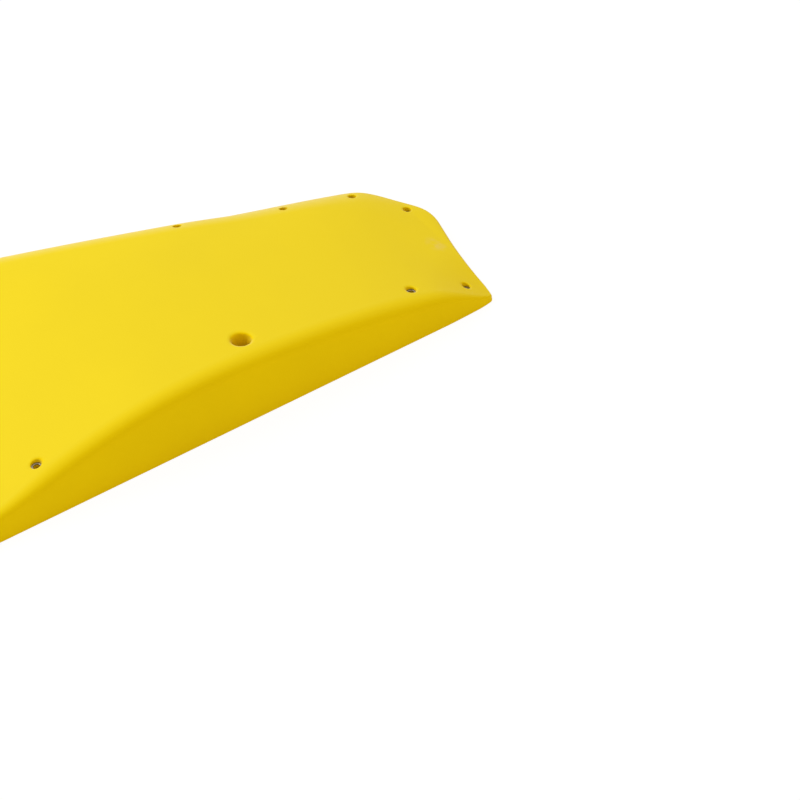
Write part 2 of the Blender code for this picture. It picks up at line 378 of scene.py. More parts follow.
def add_grain(tree, shader, grain_scale, patch_scale, distance, strength):
    grain = add_node(tree, "ShaderNodeGroup", node_tree=grain_group)
    grain.inputs["Grain Scale"].default_value = grain_scale
    grain.inputs["Patch Scale"].default_value = patch_scale
    bump = add_node(tree, "ShaderNodeBump")
    bump.inputs["Distance"].default_value = distance
    bump.inputs["Strength"].default_value = strength
    feed(tree, bump, {"Height": grain.outputs["Height"]})
    feed(tree, shader, {"Normal": bump.outputs["Normal"]})
    return grain.outputs["Patches"]


print("helpers for materials: ramp, mix_colour, new_material, add_grain")

# %% Masks for painted sheen and a painted highlight
# Strength of the broken patch of painted sheen near the right end.
PATCH_SHEEN_AMOUNT = 0.75


def facing(tree, coords, direction, low, high, amount):
    turned = add_node(tree, "ShaderNodeVectorMath", operation="DOT_PRODUCT")
    tree.links.new(coords.outputs["Normal"], turned.inputs[0])
    turned.inputs[1].default_value = direction
    return ramp(tree, turned.outputs["Value"], low, high, 0, amount)


# A soft, broken patch of painted sheen round one place on the top.
def painted_sheen_patch(tree, coords, place, size):
    mapping = add_node(tree, "ShaderNodeMapping", vector_type="TEXTURE")
    mapping.inputs["Location"].default_value = place
    mapping.inputs["Scale"].default_value = size
    length = add_node(tree, "ShaderNodeVectorMath", operation="LENGTH")
    tree.links.new(mapping.outputs[0], length.inputs[0])
    streak = add_node(tree, "ShaderNodeTexNoise")
    streak.inputs["Scale"].default_value = 90.0
    streak.inputs["Detail"].default_value = 5.0
    for node in (mapping, streak):
        feed(tree, node, {"Vector": coords.outputs["Object"]})
    soft = ramp(tree, length.outputs["Value"], 0.2, 1.0, 1, 0)
    broken = ramp(tree, streak.outputs["Fac"], 0.42, 0.62, 0, 1)
    return math_node(tree, "MULTIPLY", math_node(tree, "MULTIPLY", soft, broken), PATCH_SHEEN_AMOUNT)


print("masks: facing a direction, and a smudge at a place")

# %% Yellow plastic, outside and back
YELLOW_DEEP = (0.900, 0.668, 0.0)
YELLOW_LIGHT = (0.930, 0.692, 0.0)
# Painted sheen on the faces that look up, where the lamp behind lights them.
PAINTED_SHEEN_ON_TOP = (0.91, 0.86, 0.085)
# Painted highlight along the rounded gripping edge.
PAINTED_EDGE_HIGHLIGHT = (1.0, 0.78, 0.005)
# Stronger painted sheen round the rear rim, where it rolls over.
PAINTED_RIM_SHEEN = (0.97, 0.80, 0.20)
# Painted sheen for the patch near the right end, where the top slopes away.
PAINTED_TIP_SHEEN = (0.90, 0.70, 0.16)
PATCH_SCALE = 9.0
BITE = 0.35


def yellow_plastic(name, grain_scale, grain_depth, roughness, painted_light_marks=(), painted_sheen_patches=()):
    made, tree, shader = new_material(name)
    patches = add_grain(tree, shader, grain_scale, PATCH_SCALE, grain_depth, BITE)
    colour = mix_colour(tree, ramp(tree, patches, 0.35, 0.65, 0, 1), YELLOW_DEEP, YELLOW_LIGHT)
    coords = add_node(tree, "ShaderNodeTexCoord")
    # Painted sheen and a painted highlight, each by the way a face looks.
    for *mask, painted_light_colour in painted_light_marks:
        colour = mix_colour(tree, facing(tree, coords, *mask), colour, painted_light_colour)
    # One broken patch of painted sheen near the right end.
    for place, size in painted_sheen_patches:
        colour = mix_colour(tree, painted_sheen_patch(tree, coords, place, size), colour, PAINTED_TIP_SHEEN)
    rough = ramp(tree, patches, 0.3, 0.7, *roughness)
    feed(tree, shader, {"Base Color": colour, "Roughness": rough})
    shader.inputs["Specular IOR Level"].default_value = 0.02
    shader.inputs["Sheen Weight"].default_value = 0.3
    shader.inputs["Sheen Roughness"].default_value = 0.34
    return made


UPWARDS = (0.0, 0.0, 1.0)
OVER_THE_EDGE = (0.0, -0.5, 0.866)
TO_THE_REAR = (0.4, 0.92, 0.0)
outer_yellow = yellow_plastic(
    "sandy_yellow_casting",
    grain_scale=1100.0,
    grain_depth=0.12 * MM,
    roughness=(0.50, 0.60),
    # Painted sheen on the top, a painted highlight along the gripping edge and a stronger
    # painted sheen round the rear rim.
    painted_light_marks=[
        (UPWARDS, 0.70, 0.97, 0.25, PAINTED_SHEEN_ON_TOP),
        (OVER_THE_EDGE, 0.86, 0.98, 0.45, PAINTED_EDGE_HIGHLIGHT),
        (TO_THE_REAR, 0.20, 0.62, 0.7, PAINTED_RIM_SHEEN),
    ],
    # The patch of painted sheen near the right end.
    painted_sheen_patches=[((0.2875, -0.0755, 0.020), (0.012, 0.014, 0.02))],
)
back_yellow = yellow_plastic(
    "raw_yellow_back", grain_scale=420.0, grain_depth=0.2 * MM, roughness=(0.40, 0.52)
)
print("materials:", outer_yellow.name, back_yellow.name)

# %% [markdown]
# ## The rule of the top
#
# The height of the top at any place depends on two distances: how far the place
# is from the gripping edge, and how far from the other four sides. Close to the
# edge the top is as high as the edge, close to the sides it is as low as the
# rim, and in between it falls evenly and rolls over. The four side distances
# are blended as a sum of inverse cubes, which is zero on each side and has no
# crease where two sides meet. Last, the top sinks a little round the pointed
# right end. The edge itself climbs and falls along X, so its height is given at
# ten stations and read from a smooth curve between them.
#
# A sculpted top could look the same, but the hollow and the mouths of the holes
# couldn't follow it exactly. So the rule is a node tree that lifts every vertex
# of a flat mesh to the top, and the same tree shapes all of them. To keep it
# readable, a small class writes the maths nodes.

# %% Height of the gripping edge
EDGE_STATIONS = [
    (-0.3329, 0.0115),
    (-0.2638, 0.0180),
    (-0.2138, 0.0280),
    (-0.1448, 0.0480),
    (-0.0738, 0.0610),
    (-0.0138, 0.0645),
    (0.0462, 0.0625),
    (0.1402, 0.0530),
    (0.2322, 0.0360),
    (0.2966, 0.0125),
]


def edge_height(x):
    places, heights = np.array(EDGE_STATIONS).T
    x = np.clip(x, places[0], places[-1])
    k = np.clip(np.searchsorted(places, x) - 1, 0, len(places) - 2)
    before, after = np.maximum(k - 1, 0), np.minimum(k + 2, len(places) - 1)
    slope0 = (heights[k + 1] - heights[before]) / (places[k + 1] - places[before])
    slope1 = (heights[after] - heights[k]) / (places[after] - places[k])
    width = places[k + 1] - places[k]
    t = (x - places[k]) / width
    rising = heights[k] * (1 + 2 * t) * (1 - t) ** 2 + slope0 * width * t * (1 - t) ** 2
    return rising + heights[k + 1] * t * t * (3 - 2 * t) - slope1 * width * t * t * (1 - t)


print("edge above the origin:", round(float(edge_height(0.0)) / MM, 1), "mm")


# %% A value that writes its own maths nodes
class Value:
    def __init__(self, tree, socket):
        self.tree = tree
        self.socket = socket

    def join(self, operation, first, second=0.0):
        bare = [v.socket if isinstance(v, Value) else v for v in (first, second)]
        return Value(self.tree, math_node(self.tree, operation, *bare))

    def __add__(self, other):
        return self.join("ADD", self, other)

    def __sub__(self, other):
        return self.join("SUBTRACT", self, other)

    def __rsub__(self, other):
        return self.join("SUBTRACT", other, self)

    def __mul__(self, other):
        return self.join("MULTIPLY", self, other)

    def __truediv__(self, other):
        return self.join("DIVIDE", self, other)

    def __pow__(self, other):
        return self.join("POWER", self, other)

    def at_least(self, other):
        return self.join("MAXIMUM", self, other)

    def at_most(self, other):
        return self.join("MINIMUM", self, other)

    def cosine(self):
        return self.join("COSINE", self)


print("class that writes maths nodes:", Value.__name__)


# %% Values that come from the mesh
def stored(tree, label):
    node = add_node(tree, "GeometryNodeInputNamedAttribute", data_type="FLOAT")
    node.inputs["Name"].default_value = label
    return Value(tree, node.outputs["Attribute"])


def vector_value(tree, operation, vector, fixed, output):
    node = add_node(tree, "ShaderNodeVectorMath", operation=operation)
    tree.links.new(vector, node.inputs[0])
    node.inputs[1].default_value = fixed
    return node.outputs[output]


print("helpers for values: stored, vector_value")

# %% Sizes that the rule's tree takes
RIM_HEIGHT = 0.012
ROLL_WIDTH = 0.036
ROLL_RISE = 0.007
ROLL_SHARE = 0.22
TOP_CROWN = 0.003
TIP_FALL = 0.0072
TIP_REACH = 0.074

rule_tree, rule_in, rule_out = new_tree(
    "top_of_the_hold",
    [
        ("Rim Height", FLOAT, RIM_HEIGHT),
        ("Roll Width", FLOAT, ROLL_WIDTH),
        ("Roll Rise", FLOAT, ROLL_RISE),
        ("Roll Share", FLOAT, ROLL_SHARE),
        ("Crown", FLOAT, TOP_CROWN),
        ("Tip Fall", FLOAT, TIP_FALL),
        ("Tip Reach", FLOAT, TIP_REACH),
        ("Sink", FLOAT, 0.0),
        ("Least Height", FLOAT, 0.0),
        ("Material", "NodeSocketMaterial", None),
    ],
)
given = {item.name: Value(rule_tree, item) for item in rule_in.outputs if item.name}
print("inputs of the rule:", ", ".join(given))

# %% How far a place is from the gripping edge and from the other sides
FRONT_LEAN = math.radians(12)
SIDE_BLEND = 3.0
LEAST_DISTANCE = 0.00001

place = add_node(rule_tree, "GeometryNodeInputPosition").outputs[0]
split = add_node(rule_tree, "ShaderNodeSeparateXYZ")
rule_tree.links.new(place, split.inputs[0])
edge = stored(rule_tree, "edge_height")
front = Value(rule_tree, split.outputs["Y"]) - CORNERS[0][1] - edge * math.tan(FRONT_LEAN)
front = front.at_least(0.0)
others = None
for k in range(1, len(CORNERS)):
    start = Vector((*CORNERS[k][:2], 0.0))
    along = (Vector((*CORNERS[(k + 1) % len(CORNERS)][:2], 0.0)) - start).normalized()
    from_start = vector_value(rule_tree, "SUBTRACT", place, start, "Vector")
    square = (-along.y, along.x, 0.0)
    inwards = vector_value(rule_tree, "DOT_PRODUCT", from_start, square, "Value")
    nearness = Value(rule_tree, inwards).at_least(LEAST_DISTANCE) ** -SIDE_BLEND
    others = nearness + others if others else nearness
rear = others ** (-1 / SIDE_BLEND)
print("nodes after the distances:", len(rule_tree.nodes))

# %% From the distances to a height
TIP = (0.304, -0.160, 0.0)
CROWN_GAIN = 80.0

share = rear / (front + rear)
rise = edge - given["Rim Height"]
roll = 1.0 - (1.0 - rear / given["Roll Width"]).at_least(0.0) ** 2.0
shoulder = (given["Roll Rise"] + given["Roll Share"] * rise) * (1.0 - share) * roll
crown = given["Crown"] * share * (1.0 - share) * rise * CROWN_GAIN
from_tip = Value(rule_tree, vector_value(rule_tree, "DISTANCE", place, TIP, "Value"))
reach = (from_tip / given["Tip Reach"]).at_most(1.0)
fall = given["Tip Fall"] * ((reach * math.pi).cosine() + 1.0) * 0.5
top = given["Rim Height"] + rise * share + shoulder + crown - fall
top = (top - given["Sink"]).at_least(given["Least Height"]) + stored(rule_tree, "extra")
print("nodes after the height:", len(rule_tree.nodes))

# %% Lift the vertices
lift = add_node(rule_tree, "GeometryNodeSetPosition")
sources = {
    "Geometry": rule_in.outputs["Geometry"],
    "Selection": (1.0 - stored(rule_tree, "stays")).socket,
    "Position": combined(rule_tree, X=split.outputs["X"], Y=split.outputs["Y"], Z=top.socket),
}
feed(rule_tree, lift, sources)
end_tree(rule_tree, lift.outputs["Geometry"], rule_in, rule_out)
print("nodes in the rule:", len(rule_tree.nodes))


# %% Ask the rule for heights
def flat_mesh(name, points, faces, **stored_values):
    data = bpy.data.meshes.new(name)
    data.from_pydata([tuple(p) for p in points], [], faces)
    stored_values["edge_height"] = edge_height(np.asarray(points)[:, 0])
    for label, values in stored_values.items():
        attribute = data.attributes.new(label, "FLOAT", "POINT")
        attribute.data.foreach_set("value", np.asarray(values, dtype=np.float32))
    return data


def top_heights(places, sink=0.0, least=0.0):
    flat = np.reshape(places, (-1, 2))
    data = flat_mesh("places", np.column_stack((flat, np.zeros(len(flat)))), [])
    asked = grow("places", rule_tree, {"Sink": sink, "Least Height": least}, data)
    found = np.empty(3 * len(flat))
    asked.data.vertices.foreach_get("co", found)
    for used in (asked.data, data):
        bpy.data.meshes.remove(used)
    return found[2::3].reshape(np.shape(places)[:-1])


print("top above the origin:", round(float(top_heights([(0.0, 0.0)])[0]) / MM, 1), "mm")

# %% [markdown]
# ## Sections and a loft
#
# A section stands at each point of the outline. It goes up the leaning wall,
# turns over on an arc that touches both the wall and the top, and then follows
# the top to a curve in the middle where the front and back sections meet. A
# loft through sections was chosen over a sculpted or subdivided block, because
# the arched edge, the lean and the roundings stay exact and can each be changed
# by one number. All sections are worked out side by side, as rows of numbers:
# x and y, height, an extra height that fades out along the top, and whether the
# point stays where it is when the rule lifts the rest.

# %% Work out the sections
RIM_LEAN = math.radians(6)
SETTLING_ROUNDS = 10
LARGEST_RADIUS = 0.35
LARGEST_TANGENT = 0.8
TOP_CROWDING = 1.5
FADE_POWER = 4


def sections(feet, outward, meeting, roof, rounding, foot, steps):
    frontness = np.clip((-outward[:, 1] - 0.5) / 0.5, 0.0, 1.0)
    frontness = frontness * frontness * (3 - 2 * frontness)
    wall = math.pi / 2 - RIM_LEAN - (FRONT_LEAN - RIM_LEAN) * frontness

    def inside(depth):
        return feet - outward * np.reshape(depth, (-1, 1))

    depth = np.zeros(len(feet))
    for _ in range(SETTLING_ROUNDS):
        depth = roof(inside(depth)) / np.tan(wall)
    rise = roof(inside(depth + MM)) - roof(inside(depth))
    height = depth * np.tan(wall)
    turn = wall - np.arctan(rise / MM)
    radius = rounding[0] + (rounding[1] - rounding[0]) * frontness
    radius = np.minimum(radius, LARGEST_RADIUS * height)
    tangent = np.minimum(radius * np.tan(turn / 2), LARGEST_TANGENT * height / np.sin(wall))
    radius = tangent / np.tan(turn / 2)
    rows = [(inside(inward), z, 0.0, 1.0) for inward, z in foot]
    arc_steps, top_steps = steps
    for k in range(arc_steps + 1):
        angle = wall - turn * k / arc_steps
        inward = depth - tangent * np.cos(wall) + radius * (np.sin(wall) - np.sin(angle))
        z = height - tangent * np.sin(wall) + radius * (np.cos(angle) - np.cos(wall))
        rows.append((inside(inward), z, 0.0, 1.0))
    last = inside(inward)
    extra = z - roof(last)
    for k in range(1, top_steps + 1):
        t = (k / top_steps) ** TOP_CROWDING
        rows.append((last + (meeting - last) * t, 0.0, extra * (1 - t) ** FADE_POWER, 0.0))
    table = np.zeros((len(feet), len(rows), 5))
    for k, (plan, *others) in enumerate(rows):
        table[:, k, :2] = plan
        for column, values in enumerate(others, 2):
            table[:, k, column] = values
    return table


print("the wall leans by", round(math.degrees(FRONT_LEAN)), "degrees at the front")

# %% Loft a closed body through the sections
WELD = 0.000002
SPINE = [(-0.256, -0.117), (-0.018, -0.037), (0.258, -0.042)]


def meeting_places(middles):
    a, b, c = (np.array(p) for p in SPINE)
    t = ((middles - middles[0]) / (middles[-1] - middles[0]))[:, None]
    return (a + (b - a) * t) * (1 - t) + (b + (c - b) * t) * t


def loft(name, corners, sink, least, rounding, foot, spans, steps, finish):
    front, back = halves(corners, spans)
    feet = np.array([point for point, _ in front + back])
    outward = np.array([toward for _, toward in front + back])
    middles = (feet[: spans + 1, 0] + feet[spans + 1 :, 0]) / 2
    meeting = np.tile(meeting_places(middles), (2, 1))

    def roof(places):
        return top_heights(places, sink, least)

    table = sections(feet, outward, meeting, roof, rounding, foot, steps)
    number = np.arange(table.shape[0] * table.shape[1]).reshape(2, spans + 1, -1)
    faces = []
    for side in number:
        corners_of = (side[:-1, :-1], side[1:, :-1], side[1:, 1:], side[:-1, 1:])
        faces += np.stack(corners_of, axis=-1).reshape(-1, 4).tolist()
    near, far = number[:, :, 0].tolist()
    faces.append(near + far[::-1])
    flat = table.reshape(-1, 5)
    data = flat_mesh(name, flat[:, :3], faces, extra=flat[:, 3], stays=flat[:, 4])
    sizes = {"Sink": sink, "Least Height": least, "Material": finish}
    body = grow(name, rule_tree, sizes, data)
    mesh = bmesh.new()
    mesh.from_mesh(body.data)
    bmesh.ops.remove_doubles(mesh, verts=mesh.verts, dist=WELD)
    bmesh.ops.recalc_face_normals(mesh, faces=mesh.faces)
    mesh.to_mesh(body.data)
    mesh.free()
    return body


ends_and_middle = meeting_places(np.array([-1.0, 0.0, 1.0]))
print("front and back sections meet on:", ends_and_middle.round(3).tolist())

# %% [markdown]
# ## Outer skin and cavity
#
# The same loft makes both the outside and the hollow inside. The hollow starts
# a rim's width inwards and its roof lies one wall below the top. A Solidify
# modifier could thicken the skin too, but the rim would get no wider than the
# wall. The outer skin's foot has a tiny chamfer, as the trimmed edge of a real
# casting has.

# %% Make the two bodies
EDGE_ROUNDING = 0.015
RIM_ROUNDING = 0.006
RIM_WIDTH = 0.012
WALL = 0.009
CAVITY_LEAST_HEIGHT = 0.002
CAVITY_ROUNDING = 0.005
EDGE_TRIM = 0.0006
CAVITY_START = -0.003
skin = loft(
    "skin",
    inset_corners(CORNERS, SKIN_INSET),
    sink=SKIN_INSET,
    least=0.0,
    rounding=(RIM_ROUNDING, EDGE_ROUNDING),
    foot=[(EDGE_TRIM, 0.0), (0.0, EDGE_TRIM)],
    spans=260,
    steps=(10, 34),
    finish=outer_yellow,
)
skin.data.materials.append(back_yellow)
for face in skin.data.polygons:
    face.material_index = int(face.center.z < EDGE_TRIM)
cavity = loft(
    "cavity",
    inset_corners(CORNERS, RIM_WIDTH),
    sink=WALL,
    least=CAVITY_LEAST_HEIGHT,
    rounding=(CAVITY_ROUNDING, CAVITY_ROUNDING),
    foot=[(0.0, CAVITY_START)],
    spans=150,
    steps=(5, 18),
    finish=back_yellow,
)
print("faces of skin and cavity:", len(skin.data.polygons), len(cavity.data.polygons))

# %% [markdown]
# ## Ribs and bosses from one node tree each
#
# The stiffening ribs repeat on a steady pitch, and a boss stands round every
# hole. They could be placed one by one, but with Geometry Nodes one number
# changes or moves them all. The first tree lays a row of points and puts the
# same tapered bar on each. The second puts a tapered pillar on every vertex of a
# small mesh, as wide as the vertex says. They are tools: what they cover stays
# solid when the cavity is cut out.

# %% Tree for a row of tapered bars
rib_tree, rib_in, rib_out = new_tree(
    "row_of_ribs",
    [
        ("Count", "NodeSocketInt", 10),
        ("First X", FLOAT, 0.0),
        ("Pitch", FLOAT, 0.06),
        ("Length", FLOAT, 0.42),
        ("Height", FLOAT, 0.09),
        ("Foot Thickness", FLOAT, 0.005),
        ("Head Thickness", FLOAT, 0.007),
        ("Material", "NodeSocketMaterial", None),
    ],
)
size = rib_in.outputs
line = add_node(rib_tree, "GeometryNodeMeshLine", mode="OFFSET", count_mode="TOTAL")
sources = {
    "Count": size["Count"],
    "Start Location": combined(rib_tree, X=size["First X"]),
    "Offset": combined(rib_tree, X=size["Pitch"]),
}
feed(rib_tree, line, sources)
bar = add_node(rib_tree, "GeometryNodeMeshCube")
extent = combined(rib_tree, X=size["Head Thickness"], Y=size["Length"], Z=size["Height"])
feed(rib_tree, bar, {"Size": extent})

place = add_node(rib_tree, "GeometryNodeInputPosition").outputs[0]
split = add_node(rib_tree, "ShaderNodeSeparateXYZ")
rib_tree.links.new(place, split.inputs[0])
x, y, z = (Value(rib_tree, socket) for socket in split.outputs)
ratio = Value(rib_tree, size["Foot Thickness"]) / Value(rib_tree, size["Head Thickness"])
narrowing = z.join("LESS_THAN", z, 0.0) * (1.0 - ratio)
tapered = combined(rib_tree, X=(x * (1.0 - narrowing)).socket, Y=y.socket, Z=z.socket)
shape_bar = add_node(rib_tree, "GeometryNodeSetPosition")
feed(rib_tree, shape_bar, {"Geometry": bar.outputs["Mesh"], "Position": tapered})

on_points = add_node(rib_tree, "GeometryNodeInstanceOnPoints")
sources = {"Points": line.outputs["Mesh"], "Instance": shape_bar.outputs["Geometry"]}
feed(rib_tree, on_points, sources)
end_tree(rib_tree, on_points.outputs["Instances"], rib_in, rib_out)
print("nodes in the tree of ribs:", len(rib_tree.nodes))

# %% Tree for tapered pillars
boss_tree, boss_in, boss_out = new_tree(
    "pillars_on_holes",
    [
        ("Height", FLOAT, 0.09),
        ("Taper", FLOAT, 0.9),
        ("Sides", "NodeSocketInt", 64),
        ("Material", "NodeSocketMaterial", None),
    ],
)
size = boss_in.outputs
pillar = add_node(boss_tree, "GeometryNodeMeshCone")
pillar.inputs["Radius Top"].default_value = 1.0
sources = {
    "Radius Bottom": size["Taper"],
    "Vertices": size["Sides"],
    "Depth": size["Height"],
}
feed(boss_tree, pillar, sources)
radius = stored(boss_tree, "boss_radius").socket
across = combined(boss_tree, X=radius, Y=radius)
across.node.inputs["Z"].default_value = 1.0
on_holes = add_node(boss_tree, "GeometryNodeInstanceOnPoints")
sources = {
    "Points": boss_in.outputs["Geometry"],
    "Instance": pillar.outputs["Mesh"],
    "Scale": across,
}
feed(boss_tree, on_holes, sources)
end_tree(boss_tree, on_holes.outputs["Instances"], boss_in, boss_out)
print("nodes in the tree of bosses:", len(boss_tree.nodes))

# %% [markdown]
# ## Where the holes are
#
# The washers of the loaded frame say where each hole runs and how deep its
# washer lies. So the holes are read from there, and nothing has to be fitted.
# Where the casting is thin, the pocket is a little narrower and its mouth crisp.

# %% Read the holes from the washers
BOLT = {
    "bore": 0.0055,
    "washer_bore": 0.00525,
    "pocket": 0.00925,
    "lip": (0.0036, 0.0030),
    "boss": 0.025,
}
SCREW = {
    "bore": 0.0036,
    "washer_bore": 0.0033,
    "pocket": 0.0048,
    "lip": (0.0026, 0.0019),
    "boss": 0.0115,
}
THIN_SCREW = {"pocket": 0.0043, "lip": (0.0014, 0.0010)}
THIN_SEAT = 0.025
CLEARANCE = 0.3 * MM


def read_hole(node, sizes):
    low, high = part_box(node)
    return {
        "node": node,
        "x": (low.x + high.x) / 2,
        "y": (low.y + high.y) / 2,
        "seat": low.z,
        "thick": high.z - low.z,
        "outer": (high.x - low.x) / 2,
        **sizes,
    }


screw_nodes = sorted(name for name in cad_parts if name.startswith("screw_washer"))
holes = [read_hole("main_bolt_washer", BOLT)] + [read_hole(name, SCREW) for name in screw_nodes]
for hole in holes:
    if hole["seat"] < THIN_SEAT:
        hole.update(THIN_SCREW)
    print(hole["node"], {key: round(hole[key], 4) for key in ("x", "y", "seat")})

# %% Grow the ribs and the bosses
RIB_PITCH = 0.060
CROSS_RIBS = 10
CROSS_RIB_LENGTH = 0.42
LONG_RIB_LENGTH = 0.72
LONG_RIB_Y = -0.034
TOOL_HEIGHT = 0.090
TOOL_START = -0.006

common = {"Height": TOOL_HEIGHT, "Material": back_yellow}
across_hold = {
    "Count": CROSS_RIBS,
    "First X": holes[0]["x"] - CROSS_RIBS // 2 * RIB_PITCH,
    "Pitch": RIB_PITCH,
    "Length": CROSS_RIB_LENGTH,
}
along_hold = {"Count": 1, "Pitch": 0.0, "Length": LONG_RIB_LENGTH}
cross_ribs = grow("cross_ribs", rib_tree, {**across_hold, **common})
long_rib = grow("long_rib", rib_tree, {**along_hold, **common})
for vert in long_rib.data.vertices:
    vert.co = Vector((-vert.co.y, vert.co.x + LONG_RIB_Y, vert.co.z))

marks = bpy.data.meshes.new("hole_marks")
marks.from_pydata([(hole["x"], hole["y"], 0.0) for hole in holes], [], [])
radii = marks.attributes.new("boss_radius", "FLOAT", "POINT")
radii.data.foreach_set("value", [hole["boss"] for hole in holes])
bosses = grow("bosses", boss_tree, common, marks)
half = TOOL_HEIGHT / 2
for tool, base in ((cross_ribs, half), (long_rib, half), (bosses, 0.0)):
    for vert in tool.data.vertices:
        vert.co.z += base + TOOL_START
print("rib and boss tools:", len(cross_ribs.data.polygons), len(bosses.data.polygons))

# %% [markdown]
# ## Cutters for the holes
#
# Each hole is stepped: a bore from the back, a groove that holds the washer, and
# a wider pocket above it. Its mouth is softly rounded, and because the top
# slopes, the rounding follows the slope all round the hole. A plain cylinder
# would leave the mouth sharp. So the cutter is a turned shape whose upper rings
# ride up and down with the surface.

# %% Rings of a cutter
MOUTH_ANGLES = [0, 12, 24, 36, 48, 58, 67, 75, 80]
FLARE = (3 * MM, 1.2 * MM)


def hole_rings(hole):
    groove = hole["outer"] + CLEARANCE
    seat = hole["seat"]
    above = seat + hole["thick"] + CLEARANCE
    plain = [
        (hole["bore"], TOOL_START),
        (hole["bore"], seat - CLEARANCE),
        (groove, seat - CLEARANCE),
        (groove, above),
        (hole["pocket"], above),
    ]
    wide, deep = hole["lip"]
    angles = np.radians(MOUTH_ANGLES)
    riding = [
        (hole["pocket"] + wide * (1 - math.cos(a)), -deep * (1 - math.sin(a))) for a in angles
    ]
    riding.append((riding[-1][0] + FLARE[0], FLARE[1]))
    return plain, riding


print("flat and riding rings of a cutter:", [len(part) for part in hole_rings(holes[0])])

# %% Turn a cutter that follows the top
LID_RISE = 2 * MM
CUTTER_SIDES = 72
AROUND = np.linspace(0.0, 2 * math.pi, CUTTER_SIDES, endpoint=False)


def hole_cutter(hole):
    plain, riding = hole_rings(hole)
    radii = np.array([radius for radius, _ in plain + riding])[:, None]
    levels = np.repeat(np.array([z for _, z in plain + riding])[:, None], CUTTER_SIDES, axis=1)
    x = hole["x"] + radii * np.cos(AROUND)
    y = hole["y"] + radii * np.sin(AROUND)
    over = slice(len(plain), None)
    levels[over] += top_heights(np.stack((x[over], y[over]), axis=-1), SKIN_INSET)
    rings = np.stack((x, y, levels), axis=-1)
    mesh = bmesh.new()
    verts = [[mesh.verts.new(p) for p in ring] for ring in rings]
    for low, high in zip(verts, verts[1:]):
        for k in range(CUTTER_SIDES):
            after = (k + 1) % CUTTER_SIDES
            mesh.faces.new((low[k], low[after], high[after], high[k]))
    lid = mesh.verts.new((hole["x"], hole["y"], levels[-1].max() + LID_RISE))
    foot = mesh.verts.new((hole["x"], hole["y"], TOOL_START))
    for k in range(CUTTER_SIDES):
        after = (k + 1) % CUTTER_SIDES
        mesh.faces.new((verts[-1][k], verts[-1][after], lid))
        mesh.faces.new((verts[0][after], verts[0][k], foot))
    data = bpy.data.meshes.new("cutter_" + hole["node"])
    mesh.to_mesh(data)
    mesh.free()
    data.materials.append(outer_yellow)
    return add_object(data.name, data)


cutters = [hole_cutter(hole) for hole in holes]
print("hole cutters:", len(cutters))

# %% [markdown]
# ## Cut the casting
#
# First the ribs and bosses are taken out of the cavity, then the cavity and the
# holes are taken out of the skin. The exact Boolean keeps every cut clean. Each
# tool's finish goes over to the faces it cuts, so the hollow gets the raw back
# and the holes get the outer yellow. The result is stored as a plain mesh.

# %% Subtract and keep the result
SHELL_SHARP = math.radians(28)


def subtract(body, tools):
    for tool in tools:
        cut = body.modifiers.new("cut", "BOOLEAN")
        cut.operation = "DIFFERENCE"
        cut.solver = "EXACT"
        cut.material_mode = "TRANSFER"
        cut.object = tool


subtract(cavity, [cross_ribs, long_rib, bosses])
subtract(skin, [cavity] + cutters)
casting = finished_mesh(skin)
casting.name = "hold_casting"
shell = add_object("hold_casting", casting)
for tool in [skin, cavity, cross_ribs, long_rib, bosses] + cutters:
    bpy.data.objects.remove(tool)

mesh = bmesh.new()
mesh.from_mesh(shell.data)
bmesh.ops.remove_doubles(mesh, verts=mesh.verts, dist=2 * WELD)
bmesh.ops.dissolve_degenerate(mesh, edges=mesh.edges, dist=WELD)
open_edges = sum(1 for edge in mesh.edges if len(edge.link_faces) != 2)
mesh.to_mesh(shell.data)
mesh.free()
shell.data.shade_smooth()
shell.data.set_sharp_from_angle(angle=SHELL_SHARP)
print("casting:", len(shell.data.polygons), "faces, open edges:", open_edges)
print("finishes:", [item.name for item in shell.data.materials])

# %% [markdown]
# ## The steel washers
#
# A washer is a flat ring with its sharp corners taken off. A bevelled cylinder
# would look alike, but eleven of them would have to be kept in step. A node tree
# sweeps a small rounded rectangle round a circle, and its inputs are the
# washer's sizes and its place, so one tree makes the large and the small ones.

# %% Tree for a washer
washer_tree, washer_in, washer_out = new_tree(
    "rounded_washer",
    [
        ("Inner Radius", FLOAT, 0.0032),
        ("Outer Radius", FLOAT, 0.006),
        ("Thickness", FLOAT, 0.0016),
        ("Corner Radius", FLOAT, 0.0002),
        ("Sides", "NodeSocketInt", 96),
        ("Place", "NodeSocketVector", None),
        ("Material", "NodeSocketMaterial", None),
    ],
)
size = washer_in.outputs
inner, outer = (Value(washer_tree, size[label]) for label in ("Inner Radius", "Outer Radius"))
ring = add_node(washer_tree, "GeometryNodeCurvePrimitiveCircle", mode="RADIUS")
middle = ((inner + outer) * 0.5).socket
feed(washer_tree, ring, {"Radius": middle, "Resolution": size["Sides"]})
profile = add_node(washer_tree, "GeometryNodeCurvePrimitiveQuadrilateral")
feed(washer_tree, profile, {"Width": (outer - inner).socket, "Height": size["Thickness"]})
fillet = add_node(washer_tree, "GeometryNodeFilletCurve", mode="POLY")
fillet.inputs["Count"].default_value = 3
feed(washer_tree, fillet, {"Curve": profile.outputs["Curve"], "Radius": size["Corner Radius"]})
sweep = add_node(washer_tree, "GeometryNodeCurveToMesh")
sources = {"Curve": ring.outputs["Curve"], "Profile Curve": fillet.outputs["Curve"]}
feed(washer_tree, sweep, sources)
move = add_node(washer_tree, "GeometryNodeTransform")
feed(washer_tree, move, {"Geometry": sweep.outputs["Mesh"], "Translation": size["Place"]})
end_tree(washer_tree, move.outputs["Geometry"], washer_in, washer_out)
print("nodes in the washer's tree:", len(washer_tree.nodes))

